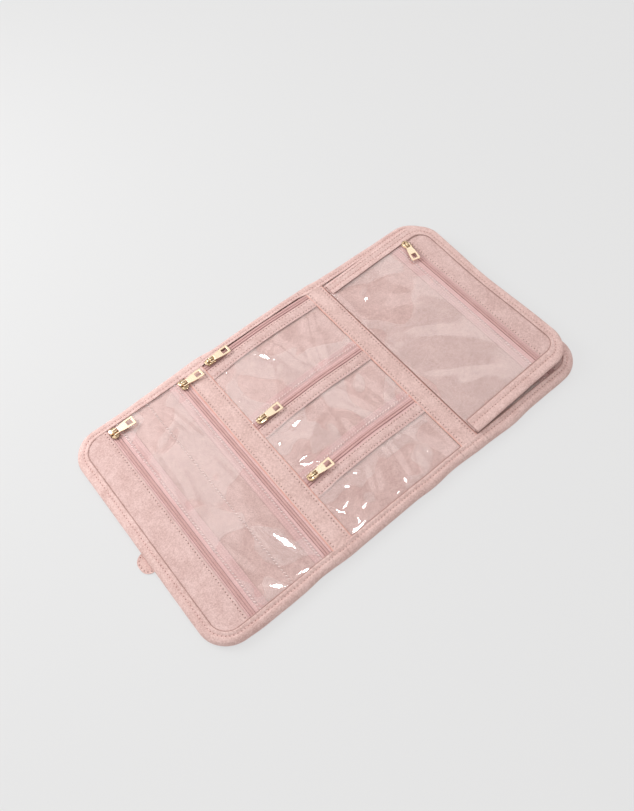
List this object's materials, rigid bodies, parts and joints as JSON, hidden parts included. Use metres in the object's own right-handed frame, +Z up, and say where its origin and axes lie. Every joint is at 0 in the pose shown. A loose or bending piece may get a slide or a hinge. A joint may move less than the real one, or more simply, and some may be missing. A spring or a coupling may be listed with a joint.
{
  "type": "fold-out jewelry sleeve",
  "caption": "Fold-out padded jewelry sleeve lying open, with zipped pockets behind clear windows, a loose inner page and a closing strap",
  "frame": {"origin": "under the middle of the outline of the open sleeve, on the plane that it lies on", "axes": "X runs along the row of panels from the strap's tip to the page's end, Y across them, Z up"},
  "size_m": [0.431, 0.238, 0.0203],
  "materials": {
    "suede": "soft matte faux suede",
    "binding_suede": "matte faux suede, folded",
    "cover_suede": "matte faux suede",
    "lining_suede": "matte faux suede",
    "foam": "soft padding",
    "clear_vinyl": "clear glossy vinyl",
    "zip_nylon": "woven tape and nylon coil",
    "pale_gold": "polished pale gold plating"
  },
  "bodies": {
    "centre_panel": {"cover_centre": "cover_suede", "pad_centre": "foam", "lining_centre": "lining_suede", "binding_centre_far": "binding_suede", "binding_centre_near": "binding_suede", "window_centre_far": "clear_vinyl", "window_centre_middle": "clear_vinyl", "window_centre_near": "clear_vinyl", "strip_centre_far": "suede", "strip_centre_middle": "suede", "strip_centre_near": "suede", "zip_centre_far": "zip_nylon", "zip_centre_middle": "zip_nylon", "zip_centre_near": "zip_nylon", "strap_patch": "cover_suede"},
    "left_spine": {"cover_spine_left": "cover_suede", "strip_spine_left": "suede", "binding_spine_left_far": "binding_suede", "binding_spine_left_near": "binding_suede"},
    "left_panel": {"cover_left": "cover_suede", "pad_left": "foam", "lining_left": "lining_suede", "binding_left": "binding_suede", "facing_left": "suede", "window_left": "clear_vinyl", "zip_left_outer": "zip_nylon", "zip_left_inner": "zip_nylon"},
    "right_spine": {"cover_spine_right": "cover_suede", "strip_spine_right": "suede", "binding_spine_right_far": "binding_suede", "binding_spine_right_near": "binding_suede"},
    "right_panel": {"cover_right": "cover_suede", "pad_right": "foam", "lining_right": "lining_suede", "binding_right": "binding_suede", "facing_right": "suede", "window_right": "clear_vinyl", "zip_right": "zip_nylon", "snap_stud": "pale_gold"},
    "page": {"lining_page": "lining_suede", "binding_page": "binding_suede", "facing_page": "suede", "window_page": "clear_vinyl", "zip_page": "zip_nylon"},
    "strap": {"closing_strap": "cover_suede", "snap_cap": "pale_gold"},
    "slider_right": {"slider_right": "pale_gold", "pull_right": "pale_gold"},
    "slider_left_outer": {"slider_left_outer": "pale_gold"},
    "pull_left_outer": {"pull_left_outer": "pale_gold"},
    "slider_left_inner": {"slider_left_inner": "pale_gold"},
    "pull_left_inner": {"pull_left_inner": "pale_gold"},
    "slider_centre_far": {"slider_centre_far": "pale_gold"},
    "pull_centre_far": {"pull_centre_far": "pale_gold"},
    "slider_centre_middle": {"slider_centre_middle": "pale_gold"},
    "pull_centre_middle": {"pull_centre_middle": "pale_gold"},
    "slider_centre_near": {"slider_centre_near": "pale_gold"},
    "pull_centre_near": {"pull_centre_near": "pale_gold"},
    "slider_page": {"slider_page": "pale_gold"},
    "pull_page": {"pull_page": "pale_gold"}
  },
  "joints": [
    {"name": "left_spine_fold", "type": "hinge", "parent": "centre_panel", "child": "left_spine", "pos_m": [-0.064, 0, 0.00805], "axis": [0, 1, 0], "range_deg": [0, 90]},
    {"name": "left_panel_fold", "type": "hinge", "parent": "left_spine", "child": "left_panel", "pos_m": [-0.0835, 0, 0.00805], "axis": [0, 1, 0], "range_deg": [0, 97.5]},
    {"name": "right_spine_fold", "type": "hinge", "parent": "centre_panel", "child": "right_spine", "pos_m": [0.0635, 0, 0.00805], "axis": [0, -1, 0], "range_deg": [0, 90]},
    {"name": "right_panel_fold", "type": "hinge", "parent": "right_spine", "child": "right_panel", "pos_m": [0.082, 0, 0.00805], "axis": [0, -1, 0], "range_deg": [0, 77]},
    {"name": "page_turn", "type": "hinge", "parent": "right_panel", "child": "page", "pos_m": [0.08212, 0, 0.01175], "axis": [0, 1, 0], "range_deg": [-170, 0]},
    {"name": "strap_swing", "type": "hinge", "parent": "centre_panel", "child": "strap", "pos_m": [-0.0613, -0.0155, 0], "axis": [0, -1, 0], "range_deg": [0, 170]},
    {"name": "slider_left_outer_slide", "type": "slide", "parent": "left_panel", "child": "slider_left_outer", "axis": [0, -1, 0], "range_m": [0, 0.2]},
    {"name": "pull_left_outer_swing", "type": "hinge", "parent": "slider_left_outer", "child": "pull_left_outer", "pos_m": [-0.1655, 0.1008, 0.0109], "axis": [0, -1, 0], "range_deg": [0, 180]},
    {"name": "slider_left_inner_slide", "type": "slide", "parent": "left_panel", "child": "slider_left_inner", "axis": [0, -1, 0], "range_m": [0, 0.2]},
    {"name": "pull_left_inner_swing", "type": "hinge", "parent": "slider_left_inner", "child": "pull_left_inner", "pos_m": [-0.089, 0.1022, 0.0109], "axis": [0, -1, 0], "range_deg": [0, 180]},
    {"name": "slider_centre_far_slide", "type": "slide", "parent": "centre_panel", "child": "slider_centre_far", "axis": [1, 0, 0], "range_m": [0, 0.095]},
    {"name": "pull_centre_far_swing", "type": "hinge", "parent": "slider_centre_far", "child": "pull_centre_far", "pos_m": [-0.0547, 0.1076, 0.0109], "axis": [0, 1, 0], "range_deg": [-150, 0]},
    {"name": "slider_centre_middle_slide", "type": "slide", "parent": "centre_panel", "child": "slider_centre_middle", "axis": [1, 0, 0], "range_m": [0, 0.095]},
    {"name": "pull_centre_middle_swing", "type": "hinge", "parent": "slider_centre_middle", "child": "pull_centre_middle", "pos_m": [-0.0547, 0.0265, 0.0109], "axis": [0, 1, 0], "range_deg": [-150, 0]},
    {"name": "slider_centre_near_slide", "type": "slide", "parent": "centre_panel", "child": "slider_centre_near", "axis": [1, 0, 0], "range_m": [0, 0.095]},
    {"name": "pull_centre_near_swing", "type": "hinge", "parent": "slider_centre_near", "child": "pull_centre_near", "pos_m": [-0.0547, -0.046, 0.0109], "axis": [0, 1, 0], "range_deg": [-150, 0]},
    {"name": "slider_page_slide", "type": "slide", "parent": "page", "child": "slider_page", "axis": [0, -1, 0], "range_m": [0, 0.17]},
    {"name": "pull_page_swing", "type": "hinge", "parent": "slider_page", "child": "pull_page", "pos_m": [0.17589, 0.0865, 0.01871], "axis": [-0.9646, 0.2588, -0.0506], "range_deg": [0, 180]},
    {"name": "slider_right_slide", "type": "slide", "parent": "right_panel", "child": "slider_right", "axis": [0, -1, 0], "range_m": [0, 0.18]}
  ],
  "couplings": [
    {"joint": "pull_left_inner_swing", "follows": "left_panel_fold", "ratio": 1.7436}
  ]
}
